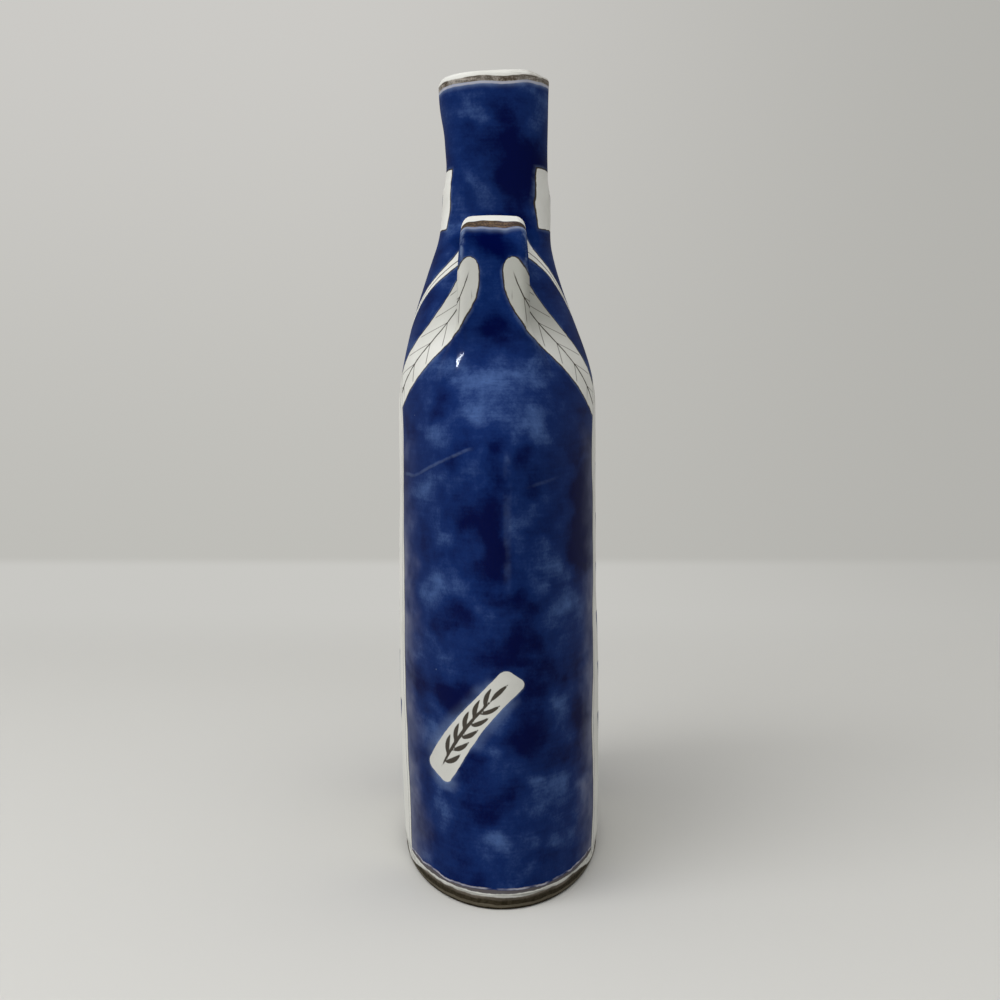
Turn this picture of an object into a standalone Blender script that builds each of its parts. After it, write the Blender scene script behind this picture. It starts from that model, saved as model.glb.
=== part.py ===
"""Oval flask pitcher in glazed earthenware, built from the pieces of clay it is luted together from.

Metres, +Z up. The origin is the middle of the underside. The broad faces look along +X and -X,
the handle stands at the -Y end and the pouring lip at the +Y end.
"""

import math

import bmesh
import bpy

# Plan of the vessel
BODY_THICKNESS = 0.0796
BODY_WIDTH = 0.194
FACE_BELLY = 0.0009
NECK_THICKNESS = 0.0406
NECK_WIDTH = 0.045
BODY_SQUARENESS = 2.0
NECK_SQUARENESS = 2.9
MOUTH_FLARE = 0.002
WALL = 0.0055

# Heights of the pieces, stacked from the table up
FOOT_HEIGHT = 0.0055
WALL_HEIGHT = 0.1465
SHOULDER_HEIGHT = 0.074
NECK_HEIGHT = 0.0727
RIM_HEIGHT = 0.008

# Where the shoulder starts to draw in above the wall, and the height it takes to reach the neck
FACE_SHOULDER_START = 0.024
FACE_SHOULDER_RUN = 0.084
END_SHOULDER_START = 0.003
END_SHOULDER_RUN = 0.103

# Lap joints between the pieces of clay
JOINT_GAP = 0.0003
FLOOR_PLUG_HEIGHT = 0.004
SPIGOT_HEIGHT = 0.007
SPIGOT_WALL = 0.003
SPIGOT_RUNOUT = 0.014
FOOT_CHAMFER = 0.0012

# Rim and pouring lip
RIM_SWELL = 0.0008
LIP_PULL = 0.009
LIP_RISE = 0.003
LIP_START = 0.045
LIP_SHARPNESS = 6

# Strap handle
STRAP_WIDTH = 0.024
STRAP_THICKNESS = 0.008
STRAP_CORNER = 0.002
STRAP_BEND_RADIUS = 0.012
HANDLE_SETBACK = 0.030
HANDLE_RISE = 0.0941
ROOT_FLARE = 0.006
ROOT_SWELL = 0.003
ROOT_FLARE_HEIGHT = 0.034
ROOT_DEPTH = 0.022
BRIDGE_FLARE = 0.0035
BRIDGE_FLARE_RUN = 0.016

# Facets
HALF_STEPS = 26
WALL_LEVELS = 5
SHOULDER_LEVELS = 8
NECK_LEVELS = 7
RIM_ARC_STEPS = 5
CORNER_STEPS = 3
BEND_STEPS = 8
RISER_STEPS = 6
BRIDGE_STEPS = 10
SMOOTH_ANGLE = math.radians(40)

# Worked out from the sizes above
ROUND_STEPS = 2 * HALF_STEPS
WALL_BOTTOM = FOOT_HEIGHT
WALL_TOP = WALL_BOTTOM + WALL_HEIGHT
NECK_JOINT = WALL_TOP + SHOULDER_HEIGHT
RIM_JOINT = NECK_JOINT + NECK_HEIGHT
MOUTH_TOP = RIM_JOINT + RIM_HEIGHT
HANDLE_REACH = BODY_WIDTH / 2 - HANDLE_SETBACK

# Finishes as colour and roughness
COBALT_GLAZE = ((0.016, 0.035, 0.130, 1.0), 0.16)
WHITE_GLAZE = ((0.62, 0.61, 0.56, 1.0), 0.16)
BROWN_OXIDE = ((0.050, 0.036, 0.024, 1.0), 0.55)


def clear_scene():
    for obj in list(bpy.data.objects):
        bpy.data.objects.remove(obj)


def glaze(name, finish):
    colour, roughness = finish
    material = bpy.data.materials.new(name)
    material.use_nodes = True
    shader = material.node_tree.nodes["Principled BSDF"]
    shader.inputs["Base Color"].default_value = colour
    shader.inputs["Roughness"].default_value = roughness
    shader.inputs["Metallic"].default_value = 0.0
    return material


def smooth_step(value, start, run):
    share = min(1.0, max(0.0, (value - start) / run))
    return share * share * (3 - 2 * share)


def mix(first, second, share):
    return first + (second - first) * share


def steps(first, last, count):
    return [mix(first, last, i / count) for i in range(count + 1)]


def outline(z, inset=0.0):
    """Half thickness, half width and height of the vessel's outer oval at height z, drawn in by inset."""
    middle = WALL_TOP / 2
    belly = FACE_BELLY * ((z - middle) / middle) ** 2 if z < WALL_TOP else FACE_BELLY
    flare = MOUTH_FLARE * max(0.0, (z - NECK_JOINT) / (MOUTH_TOP - NECK_JOINT)) ** 2
    face = smooth_step(z, WALL_TOP + FACE_SHOULDER_START, FACE_SHOULDER_RUN)
    end = smooth_step(z, WALL_TOP + END_SHOULDER_START, END_SHOULDER_RUN)
    half_thickness = mix(BODY_THICKNESS / 2 - belly, NECK_THICKNESS / 2 + flare, face)
    half_width = mix(BODY_WIDTH / 2, NECK_WIDTH / 2 + flare, end)
    return (half_thickness - inset, half_width - inset, z)


def squareness(z):
    """Power of the oval at height z: 2 is an ellipse, and more than 2 has fuller corners."""
    return mix(BODY_SQUARENESS, NECK_SQUARENESS, smooth_step(z, WALL_TOP + FACE_SHOULDER_START, FACE_SHOULDER_RUN))


def oval_point(level, angle):
    """The point of an oval at an angle from +X, with the pouring lip pulled out near the mouth."""
    half_thickness, half_width, z = level
    power = 2 / squareness(z)
    x = half_thickness * math.copysign(abs(math.cos(angle)) ** power, math.cos(angle))
    y = half_width * math.copysign(abs(math.sin(angle)) ** power, math.sin(angle))
    lip_bottom = MOUTH_TOP - LIP_START
    pull = max(0.0, (z - lip_bottom) / LIP_START) ** 2 * max(0.0, math.sin(angle)) ** LIP_SHARPNESS
    return (x, y + LIP_PULL * pull, z + LIP_RISE * pull * pull)


def skin(bm, loops, closed):
    """Quads between neighbouring loops of vertices, each loop closed on itself."""
    pairs = list(zip(loops, loops[1:]))
    if closed:
        pairs.append((loops[-1], loops[0]))
    for first, second in pairs:
        for i in range(len(first)):
            j = (i + 1) % len(first)
            bm.faces.new((first[i], first[j], second[j], second[i]))
    if not closed:
        bm.faces.new(loops[0][::-1])
        bm.faces.new(loops[-1])


def finish(bm, name, material):
    bmesh.ops.recalc_face_normals(bm, faces=bm.faces)
    mesh = bpy.data.meshes.new(name)
    bm.to_mesh(mesh)
    bm.free()
    mesh.shade_smooth()
    mesh.set_sharp_from_angle(angle=SMOOTH_ANGLE)
    obj = bpy.data.objects.new(name, mesh)
    obj.data.materials.append(material)
    bpy.context.scene.collection.objects.link(obj)
    return obj


def ring_solid(name, section, material):
    """A closed section of (half thickness, half width, height) levels carried right round the oval."""
    bm = bmesh.new()
    loops = []
    for i in range(ROUND_STEPS):
        angle = math.tau * i / ROUND_STEPS
        loops.append([bm.verts.new(oval_point(level, angle)) for level in section])
    skin(bm, loops, closed=True)
    return finish(bm, name, material)


def half_solid(name, section, side, material):
    """A closed section carried round one broad face, ending in flat seam faces half a gap from the middle."""
    bm = bmesh.new()
    loops = []
    for i in range(HALF_STEPS + 1):
        loop = []
        for level in section:
            reach = math.acos((JOINT_GAP / 2 / level[0]) ** (squareness(level[2]) / 2))
            angle = mix(-reach, reach, i / HALF_STEPS)
            x, y, z = oval_point(level, angle)
            loop.append(bm.verts.new((side * x, y, z)))
        loops.append(loop)
    skin(bm, loops, closed=False)
    return finish(bm, name, material)


def oval_solid(name, levels, material):
    """A solid oval block through the given levels, bottom to top."""
    bm = bmesh.new()
    loops = []
    for level in levels:
        angles = [math.tau * i / ROUND_STEPS for i in range(ROUND_STEPS)]
        loops.append([bm.verts.new(oval_point(level, angle)) for angle in angles])
    skin(bm, loops, closed=False)
    return finish(bm, name, material)


def make_base_slab(material):
    """Floor slab: its edge is the dark foot, and its plug stands up inside the wall."""
    foot_top = outline(FOOT_HEIGHT)
    plug = outline(FOOT_HEIGHT, WALL + JOINT_GAP)
    plug_top = FOOT_HEIGHT + FLOOR_PLUG_HEIGHT
    levels = [
        (*outline(0.0, FOOT_CHAMFER)[:2], 0.0),
        outline(FOOT_CHAMFER),
        foot_top,
        plug,
        (plug[0], plug[1], plug_top),
    ]
    return oval_solid("base_slab", levels, material)


def make_wall_half(name, side, material):
    heights = steps(WALL_BOTTOM + JOINT_GAP, WALL_TOP, WALL_LEVELS)
    outer = [outline(z) for z in reversed(heights)]
    inner = [outline(z, WALL) for z in heights]
    return half_solid(name, outer + inner, side, material)


def spigot_section(joint):
    """The spigot that hangs from a piece at a joint into the piece below, from its heel to its bore."""
    heel = WALL + JOINT_GAP
    bore = heel + SPIGOT_WALL
    return [
        outline(joint + JOINT_GAP),
        outline(joint + JOINT_GAP, heel),
        (*outline(joint - SPIGOT_HEIGHT, heel)[:2], joint - SPIGOT_HEIGHT),
        (*outline(joint - SPIGOT_HEIGHT, bore)[:2], joint - SPIGOT_HEIGHT),
        outline(joint + JOINT_GAP, bore),
        outline(joint + SPIGOT_RUNOUT, WALL),
    ]


def shell_with_spigot(name, joint, top, levels, material):
    """A length of the vessel's wall with a spigot at its foot."""
    outer = [outline(z) for z in reversed(steps(joint + JOINT_GAP, top, levels))][:-1]
    inner = [outline(z, WALL) for z in steps(joint + SPIGOT_RUNOUT, top, levels)][1:]
    return ring_solid(name, outer + spigot_section(joint) + inner, material)


def make_shoulder_cap(material):
    return shell_with_spigot("shoulder_cap", WALL_TOP, NECK_JOINT, SHOULDER_LEVELS, material)


def make_neck_tube(material):
    return shell_with_spigot("neck_tube", NECK_JOINT, RIM_JOINT, NECK_LEVELS, material)


def make_rim_coil(material):
    """White coil on the neck with a rounded top, thumbed down inside the bore."""
    middle = WALL / 2
    reach = middle + RIM_SWELL
    crown_foot = MOUTH_TOP - reach
    crown = []
    for angle in steps(0.0, math.pi, RIM_ARC_STEPS):
        level = outline(crown_foot, middle - reach * math.cos(angle))
        crown.append((level[0], level[1], crown_foot + reach * math.sin(angle)))
    heel = WALL + JOINT_GAP
    bore = heel + SPIGOT_WALL / 2
    foot = RIM_JOINT - SPIGOT_HEIGHT / 2
    section = [
        outline(RIM_JOINT + JOINT_GAP),
        outline(RIM_JOINT + JOINT_GAP, heel),
        outline(foot, heel),
        outline(foot, bore),
        outline(RIM_JOINT + JOINT_GAP, bore),
    ]
    return ring_solid("rim_coil", crown[::-1] + section, material)


def strap_section(half_width, half_thickness):
    """Rounded rectangle as (across, through) pairs, anticlockwise."""
    corner = min(STRAP_CORNER, half_thickness / 2)
    points = []
    for quarter in range(4):
        centre_x = (half_width - corner) * (1 if quarter in (0, 3) else -1)
        centre_y = (half_thickness - corner) * (1 if quarter in (0, 1) else -1)
        for turn in steps(quarter * math.pi / 2, (quarter + 1) * math.pi / 2, CORNER_STEPS):
            points.append((centre_x + corner * math.cos(turn), centre_y + corner * math.sin(turn)))
    return points


def strap_path():
    """Stations (y, z, lean) along the strap's middle line: up the riser, round the bend, in to the neck."""
    top = WALL_TOP + HANDLE_RISE - STRAP_THICKNESS / 2
    root = surface_height(HANDLE_REACH) - ROOT_DEPTH
    bend_start = top - STRAP_BEND_RADIUS
    stations = [(-HANDLE_REACH, z, 0.0) for z in steps(root, bend_start, RISER_STEPS)][:-1]
    for lean in steps(0.0, math.pi / 2, BEND_STEPS):
        y = -HANDLE_REACH + STRAP_BEND_RADIUS * (1 - math.cos(lean))
        z = bend_start + STRAP_BEND_RADIUS * math.sin(lean)
        stations.append((y, z, lean))
    bend_end = -HANDLE_REACH + STRAP_BEND_RADIUS
    stations += [(y, top, math.pi / 2) for y in steps(bend_end, 0.0, BRIDGE_STEPS)][1:]
    return stations


def surface_height(reach):
    """Height at which the shoulder's end outline has drawn in to this reach from the axis."""
    low, high = WALL_TOP, WALL_TOP + END_SHOULDER_START + END_SHOULDER_RUN
    for _ in range(40):
        middle = (low + high) / 2
        if outline(middle)[1] > reach:
            low = middle
        else:
            high = middle
    return low


def make_handle(material):
    """Strap handle, flared at both ends and cut to the shoulder and the neck with a joint's gap."""
    seat = surface_height(HANDLE_REACH)
    neck_side = -outline(WALL_TOP + HANDLE_RISE)[1]
    bm = bmesh.new()
    loops = []
    for y, z, lean in strap_path():
        spread = 1 - smooth_step(z, seat - ROOT_DEPTH, ROOT_FLARE_HEIGHT + ROOT_DEPTH)
        widening = smooth_step(y, neck_side - BRIDGE_FLARE_RUN, BRIDGE_FLARE_RUN)
        half_width = STRAP_WIDTH / 2 + ROOT_FLARE * spread + BRIDGE_FLARE * widening
        half_thickness = STRAP_THICKNESS / 2 + ROOT_SWELL * spread
        loop = []
        for across, through in strap_section(half_width, half_thickness):
            out_y = y - through * math.cos(lean)
            out_z = z + through * math.sin(lean)
            loop.append(bm.verts.new((across, out_y, out_z)))
        loops.append(loop)
    skin(bm, loops, closed=False)
    handle = finish(bm, "handle_strap", material)
    cut = handle.modifiers.new("seat", "BOOLEAN")
    cut.operation = "DIFFERENCE"
    cut.object = make_seat_cutter(material)
    return handle


def make_seat_cutter(material):
    """The vessel's outside from below the handle's root to the mouth, grown by the joint's gap."""
    heights = steps(WALL_BOTTOM, WALL_TOP, 2)[:-1]
    heights += steps(WALL_TOP + JOINT_GAP, NECK_JOINT, SHOULDER_LEVELS)[:-1]
    heights += steps(NECK_JOINT + JOINT_GAP, RIM_JOINT, NECK_LEVELS)
    cutter = oval_solid("seat_cutter", [outline(z, -JOINT_GAP) for z in heights], material)
    cutter.hide_render = True
    cutter.display_type = "WIRE"
    return cutter


def main():
    clear_scene()
    pieces = [
        make_base_slab(glaze("brown_foot", BROWN_OXIDE)),
        make_wall_half("left_wall_half", -1, glaze("left_wall_glaze", COBALT_GLAZE)),
        make_wall_half("right_wall_half", 1, glaze("right_wall_glaze", COBALT_GLAZE)),
        make_shoulder_cap(glaze("shoulder_glaze", COBALT_GLAZE)),
        make_neck_tube(glaze("neck_glaze", COBALT_GLAZE)),
        make_rim_coil(glaze("rim_glaze", WHITE_GLAZE)),
        make_handle(glaze("handle_glaze", COBALT_GLAZE)),
    ]
    pitcher = bpy.data.objects.new("pitcher", None)
    bpy.context.scene.collection.objects.link(pitcher)
    for piece in pieces:
        piece.parent = pitcher


main()
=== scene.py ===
import math
from functools import partialmethod

import bmesh
import bpy
import numpy as np
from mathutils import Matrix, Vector
from mathutils.bvhtree import BVHTree


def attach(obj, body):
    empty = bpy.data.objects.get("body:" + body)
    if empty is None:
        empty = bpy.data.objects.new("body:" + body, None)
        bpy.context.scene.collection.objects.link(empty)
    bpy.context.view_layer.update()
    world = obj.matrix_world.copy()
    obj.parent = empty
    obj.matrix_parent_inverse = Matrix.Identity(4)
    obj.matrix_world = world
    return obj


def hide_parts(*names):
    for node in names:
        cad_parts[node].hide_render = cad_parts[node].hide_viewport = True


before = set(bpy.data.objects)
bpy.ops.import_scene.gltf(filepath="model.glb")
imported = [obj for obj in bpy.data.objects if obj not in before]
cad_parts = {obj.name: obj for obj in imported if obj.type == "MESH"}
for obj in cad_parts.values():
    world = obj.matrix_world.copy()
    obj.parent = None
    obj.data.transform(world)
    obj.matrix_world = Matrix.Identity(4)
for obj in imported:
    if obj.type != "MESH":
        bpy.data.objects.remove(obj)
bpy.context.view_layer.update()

scene = bpy.context.scene
mm = 0.001


# sockets that can be written into sums
class Wire:
    def __init__(self, board, socket):
        self.board = board
        self.socket = socket

    def do(self, operation, *others):
        return self.board.add("ShaderNodeMath", [self, *others], operation=operation)

    def after(self, operation, other):  # the other value comes first
        return self.board.add("ShaderNodeMath", [other, self], operation=operation)

    __add__ = __radd__ = partialmethod(do, "ADD")
    __sub__ = partialmethod(do, "SUBTRACT")
    __rsub__ = partialmethod(after, "SUBTRACT")
    __mul__ = __rmul__ = partialmethod(do, "MULTIPLY")
    __truediv__ = partialmethod(do, "DIVIDE")
    __rtruediv__ = partialmethod(after, "DIVIDE")
    __pow__ = partialmethod(do, "POWER")
    __abs__ = partialmethod(do, "ABSOLUTE")

    def clamp(self):
        return self.board.add("ShaderNodeClamp", [self, 0.0, 1.0])

    def ease(self, low, high):  # 0 at low, 1 at high, soft at both ends
        values = {"Value": self, "From Min": low, "From Max": high}
        return self.board.add("ShaderNodeMapRange", values, interpolation_type="SMOOTHSTEP")

    def within(self, low, full, fade, high):  # 1 from full to fade, 0 outside low and high
        return self.ease(low, full) * (1 - self.ease(fade, high))


class Board:
    def __init__(self, tree):
        self.tree = tree

    def feed(self, socket, value):
        if isinstance(value, Wire):
            self.tree.links.new(value.socket, socket)
        else:
            socket.default_value = value

    def add(self, kind, values=None, output=0, **settings):
        node = self.tree.nodes.new(kind)
        for name, value in settings.items():
            setattr(node, name, value)
        for key, value in values.items() if isinstance(values, dict) else enumerate(values or []):
            self.feed(node.inputs[key], value)
        return Wire(self, node.outputs[output]) if node.outputs else node

    def split(self, vector):
        parts = self.add("ShaderNodeSeparateXYZ", [vector]).socket.node
        return [Wire(self, socket) for socket in parts.outputs]

    def noise(self, vector, scale, detail=2.0, rough=0.5, twist=0.0, output=0):
        values = {"Vector": vector, "Scale": scale, "Detail": detail, "Roughness": rough, "Distortion": twist}
        return self.add("ShaderNodeTexNoise", values, output)

    def stretch(self, vector, scale, turn=(0, 0, 0)):
        return self.add("ShaderNodeMapping", {"Vector": vector, "Rotation": turn, "Scale": scale})

    def blend(self, factor, *sides):  # of two colours, wires or names of tones
        first, second = [tones[side] if isinstance(side, str) else side for side in sides]
        return self.add("ShaderNodeMix", {0: factor, 6: first, 7: second}, 2, data_type="RGBA")

    def mark(self, name):  # a painted field kept on the piece's points, in mm
        return self.add("ShaderNodeAttribute", None, "Fac", attribute_name=name)


# the vessel's own sizes, all in metres
vessel = {
    "Half Thickness": 0.0404,
    "Half Width": 0.097,
    "Belly": 0.0009,
    "Wall Top": 0.152,
    "Neck Joint": 0.226,
    "Mouth Top": 0.3067,
    "Neck Half Thickness": 0.0203,
    "Neck Half Width": 0.0225,
    "Mouth Flare": 0.002,
    "Neck Waist": 0.0007,
    "Neck Swell": 0.0012,
    "Body Squareness": 2.0,  # 2 is an ellipse, more has fuller corners
    "Neck Squareness": 2.9,
    "Face Slope Start": 0.176,
    "Face Slope Run": 0.084,
    "End Slope Start": 0.155,
    "End Slope Run": 0.103,
    "Lip Start": 0.2617,
    "Lip Pull": 0.009,
    "Lip Rise": 0.003,
    "Lean": 0.0018,  # to one side
    "Mouth Tilt": 0.046,
    "Mouth Droop": 0.0015,  # at the near right corner
    "Wobble": 0.0014,
    "Wall": 0.0055,
}
# where the hand-made shape strays from it, in metres
uneven = {
    "waist": (0.262, 0.275, 0.283, 0.302),  # the neck draws in between these heights
    "swell": (0.238, 0.254, 0.258, 0.268),  # and is fuller between these
    # shares of the lean, each gained between two heights
    "leaning": [(1.0, 0.0, 0.13), (1.0, 0.18, 0.226), (-0.8, 0.229, 0.258), (0.6, 0.262, 0.305)],
    "waistLean": 0.35,
    "wobbleScale": 15.0,
    "wobbleStart": (0.006, 0.03),  # the foot stays even
    "mouthStart": (0.262, 0.307),
    "droopAcross": (0.008, 0.018),
    "droopAlong": (-0.016, -0.002),
}
shellSizes = ["Bottom", "Top", "Crown", "Start Angle", "Sweep"]
shellCounts = ["Columns", "Outer Rows", "Crown Rows", "Inner Rows"]


def groupInputs(tree, floats, counts):
    kinds = {**dict.fromkeys(floats, "Float"), **dict.fromkeys(counts, "Int"), "Finish": "Material"}
    for name, kind in kinds.items():
        tree.interface.new_socket(name, in_out="INPUT", socket_type="NodeSocket" + kind)
    tree.interface.new_socket("Piece", in_out="OUTPUT", socket_type="NodeSocketGeometry")
    board = Board(tree)
    sockets = tree.nodes.new("NodeGroupInput").outputs
    return board, {socket.name: Wire(board, socket) for socket in sockets if socket.name}


def groupOutput(board, geometry, finish):
    joined = board.add("GeometryNodeRealizeInstances", [geometry])
    painted = board.add("GeometryNodeSetMaterial", {"Geometry": joined, "Material": finish})
    board.add("NodeGroupOutput", [painted])


def makeShellTree():
    # one grid wrapped up the outside, over the crown, down the inside and closed underneath
    tree = bpy.data.node_groups.new("ovalShell", "GeometryNodeTree")
    board, size = groupInputs(tree, list(vessel) + shellSizes, shellCounts)
    outer, crown, inner = [size[name] for name in shellCounts[1:]]
    rows = outer + crown + inner + 1
    sheet = board.add("GeometryNodeMeshGrid", [1.0, 1.0, size["Columns"] + 1, rows + 1])
    column, line = board.split(board.add("GeometryNodeInputPosition"))[:2]
    row = (line + 0.5) * rows
    rise = (row / outer).clamp()
    turn = ((row - outer) / crown).clamp()
    fall = ((row - outer - crown) / inner).clamp()
    close = (row - outer - crown - inner).clamp()
    z = size["Bottom"] + (size["Top"] - size["Bottom"]) * (rise - fall)
    z = z + size["Crown"] * (turn * math.pi).do("SINE")
    inset = size["Wall"] * ((1 - (turn * math.pi).do("COSINE")) * 0.5 - close)
    angle = size["Start Angle"] + size["Sweep"] * (column + 0.5)

    # outline of the oval at this height
    middle = size["Wall Top"] * 0.5
    belly = size["Belly"] * ((z - middle) / middle).do("MINIMUM", 1.0) ** 2
    opening = ((z - size["Neck Joint"]) / (size["Mouth Top"] - size["Neck Joint"])).do("MAXIMUM", 0.0)
    flare = size["Mouth Flare"] * opening * opening
    face, end = [z.ease(size[side + " Start"], size[side + " Start"] + size[side + " Run"])
                 for side in ("Face Slope", "End Slope")]
    bodyThick = size["Half Thickness"] - belly
    waist = z.within(*uneven["waist"])
    swell = z.within(*uneven["swell"])
    thick = bodyThick + (size["Neck Half Thickness"] + flare - bodyThick) * face - inset
    thick = thick - size["Neck Waist"] * waist + size["Neck Swell"] * swell
    wide = size["Half Width"] + (size["Neck Half Width"] + flare - size["Half Width"]) * end - inset
    cosine, sine = angle.do("COSINE"), angle.do("SINE")
    power = 2.0 / (size["Body Squareness"] + (size["Neck Squareness"] - size["Body Squareness"]) * face)
    pull = ((z - size["Lip Start"]) / (size["Mouth Top"] - size["Lip Start"])).do("MAXIMUM", 0.0)
    pull = pull * pull * sine.do("MAXIMUM", 0.0) ** 6
    x = thick * cosine.do("SIGN") * abs(cosine) ** power
    y = wide * sine.do("SIGN") * abs(sine) ** power + size["Lip Pull"] * pull
    z = z + size["Lip Rise"] * pull * pull

    # hand-made unevenness, a lean of the neck and a mouth that isn't level
    start = board.add("ShaderNodeCombineXYZ", [x, y, z])
    sway = board.split(board.noise(start, uneven["wobbleScale"], 2.0, 0.5, 0.0, "Color"))
    loose = size["Wobble"] * z.ease(*uneven["wobbleStart"]) * 2
    lean = waist * -uneven["waistLean"]
    for share, low, high in uneven["leaning"]:
        lean = lean + z.ease(low, high) * share
    x = x + (sway[0] - 0.5) * loose - size["Lean"] * lean
    y = y + (sway[1] - 0.5) * loose
    droop = size["Mouth Droop"] * x.ease(*uneven["droopAcross"]) * (1 - y.ease(*uneven["droopAlong"]))
    z = z + (size["Mouth Tilt"] * x - droop) * z.ease(*uneven["mouthStart"])
    moved = board.add("ShaderNodeCombineXYZ", [x, y, z])
    inside = {"Geometry": sheet, "Name": "inside", "Value": turn * (1 - close)}
    shell = board.add("GeometryNodeStoreNamedAttribute", inside, data_type="FLOAT", domain="POINT")
    shell = board.add("GeometryNodeSetPosition", {"Geometry": shell, "Position": moved})
    shell = board.add("GeometryNodeMergeByDistance", {"Geometry": shell, "Distance": 1e-6})
    groupOutput(board, shell, size["Finish"])
    return tree


def bakeTree(name, tree, sizes, source=None):
    # the modifier's mesh is kept as a plain mesh
    holder = bpy.data.objects.new(name + "Maker", source or bpy.data.meshes.new(name + "Maker"))
    scene.collection.objects.link(holder)
    modifier = holder.modifiers.new("shape", "NODES")
    modifier.node_group = tree
    for item in tree.interface.items_tree:
        if item.in_out == "INPUT" and item.name in sizes:
            modifier[item.identifier] = sizes[item.name]
    evaluated = holder.evaluated_get(bpy.context.evaluated_depsgraph_get())
    mesh = bpy.data.meshes.new_from_object(evaluated)
    holder.modifiers.remove(modifier)
    bpy.data.objects.remove(holder)
    mesh.name = name
    return mesh


def endShape(shape, mesh):
    bmesh.ops.recalc_face_normals(shape, faces=shape.faces)
    shape.to_mesh(mesh)
    shape.free()


def closeHoles(mesh):
    shape = bmesh.new()
    shape.from_mesh(mesh)
    bmesh.ops.holes_fill(shape, edges=[edge for edge in shape.edges if edge.is_boundary], sides=0)
    endShape(shape, mesh)


def loftRows(name, rows, material):
    # a skin over rows of points, capped at both ends
    shape = bmesh.new()
    made = [[shape.verts.new(place) for place in row] for row in rows]
    for low, high in zip(made, made[1:]):
        for index in range(len(low)):
            after = (index + 1) % len(low)
            shape.faces.new((low[index], low[after], high[after], high[index]))
    shape.faces.new(made[0])
    shape.faces.new(made[-1])
    mesh = bpy.data.meshes.new(name)
    endShape(shape, mesh)
    mesh.materials.append(material)
    return mesh


def addPiece(name, mesh, slotName, *nodes):
    mesh.shade_smooth()
    mesh.set_sharp_from_angle(angle=math.radians(42))
    piece = bpy.data.objects.new(name, mesh)
    scene.collection.objects.link(piece)
    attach(piece, "root")
    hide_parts(*nodes)
    print("made", name, "with", len(mesh.polygons), "faces")
    return piece


# painted layout, in mm: x across the narrow end, y along the body, z up
layout = {
    "panelHalf": (47.5, 47.0),  # white panel on the left and right broad side
    "panelTaper": ((6.0, 100.0, 145.0), (10.0, 45.0, 105.0)),  # how much each narrows, between which heights
    "panelArch": (158.0, 33.0),  # springing height and rise of its arched top
    "panelBorder": 4.4,
    "footLine": 6.0,  # white ring above the brown foot
    # band round the shoulder: height, swing, half width and reach along the body
    "collar": (223.0, 17.0, 2.1, 70.0),
    "collarRise": (5.0, 2.4, 2.2),  # its climb beside the strap, left and right, and the reach of that
    # height, reach on the left and right, half height and widening downwards
    "neckPanel": (257.8, 17.1, 19.7, 11.9, 0.06),
    "neckStart": 230.0,
    "rimLine": (303.1, 1.05),  # height and half width of the brown line
    "lipEdge": 302.1,
    "lipRaise": (0.8, 5.0, 14.0),  # how much, and between which places across
    # white leaves: root, tip, half width, bend and sway of the rib
    "shoulderLeaves": [(2.6, 230.0, 37.5, 170.0, 5.9, 0.5, -2.7),
                       (-10.4, 230.0, -41.8, 170.0, 5.9, -0.5, 2.7)],
    "leafRound": (0.62, 0.6),  # blunt towards the root
    # slanted white strip: both ends, half width, bow and corner radius
    "tag": (-23.2, 44.6, 5.2, 83.3, 4.8, 2.7, 2.7),
    "leftCrease": (-32.0, 20.6, 151.3, 10.9, 0.7),  # start, length, height, climb and bow
    "rightCrease": (9.7, 149.2, 0.26),  # start, height and slope
}
stripSprig = {"first": 7.5, "step": 5.9, "pairs": 5, "length": 7.2, "spread": 3.3, "half": 0.85}
# on the broad sides, with leaves that get smaller towards the top
spray = {"stemBottom": 20.0, "stemTop": 166.0, "sway": 3.0, "pairs": 6, "first": 12.0, "span": 108.0,
         "stagger": 6.0, "length": (31.0, 19.0), "half": (6.4, 4.4), "berry": 1.7}
off = -99.0  # well outside any painted shape
# soft brush patches on the narrow end: x, z, reach across, reach up, strength
brushDark = [
    (-1, 161, 3, 6, 0.5), (9, 158, 4, 6, 0.7), (-4, 155, 3, 8, 0.4), (-10, 141, 10, 8, 0.5),
    (-2, 126, 6, 10, 0.9), (10, 146, 4, 4, 0.5), (32, 140, 6, 30, 1.1), (9, 109, 8, 6, 0.6),
    (-16, 102, 6, 6, 0.5), (8, 97, 7, 7, 0.6), (-4, 91, 7, 6, 0.6), (-18, 76, 9, 7, 0.9),
    (8, 66, 6, 11, 0.7), (19, 83, 8, 9, 0.5), (4, 41, 6, 6, 0.4), (-4, 35, 6, 5, 0.5),
    (29, 60, 5, 18, 0.6), (-27, 22, 5, 9, 0.6), (4, 270, 5, 26, 0.8), (12, 271, 5, 10, 0.8),
    (6, 246, 5, 5, 0.5), (2, 270, 18, 28, 0.4), (-3, 236, 11, 5, 1.1), (-3, 131, 5, 16, 0.3),
    (27, 134, 5, 13, 0.5), (-4, 203, 5, 7, 0.9), (-21, 178, 5, 6, 0.8),
]
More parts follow.
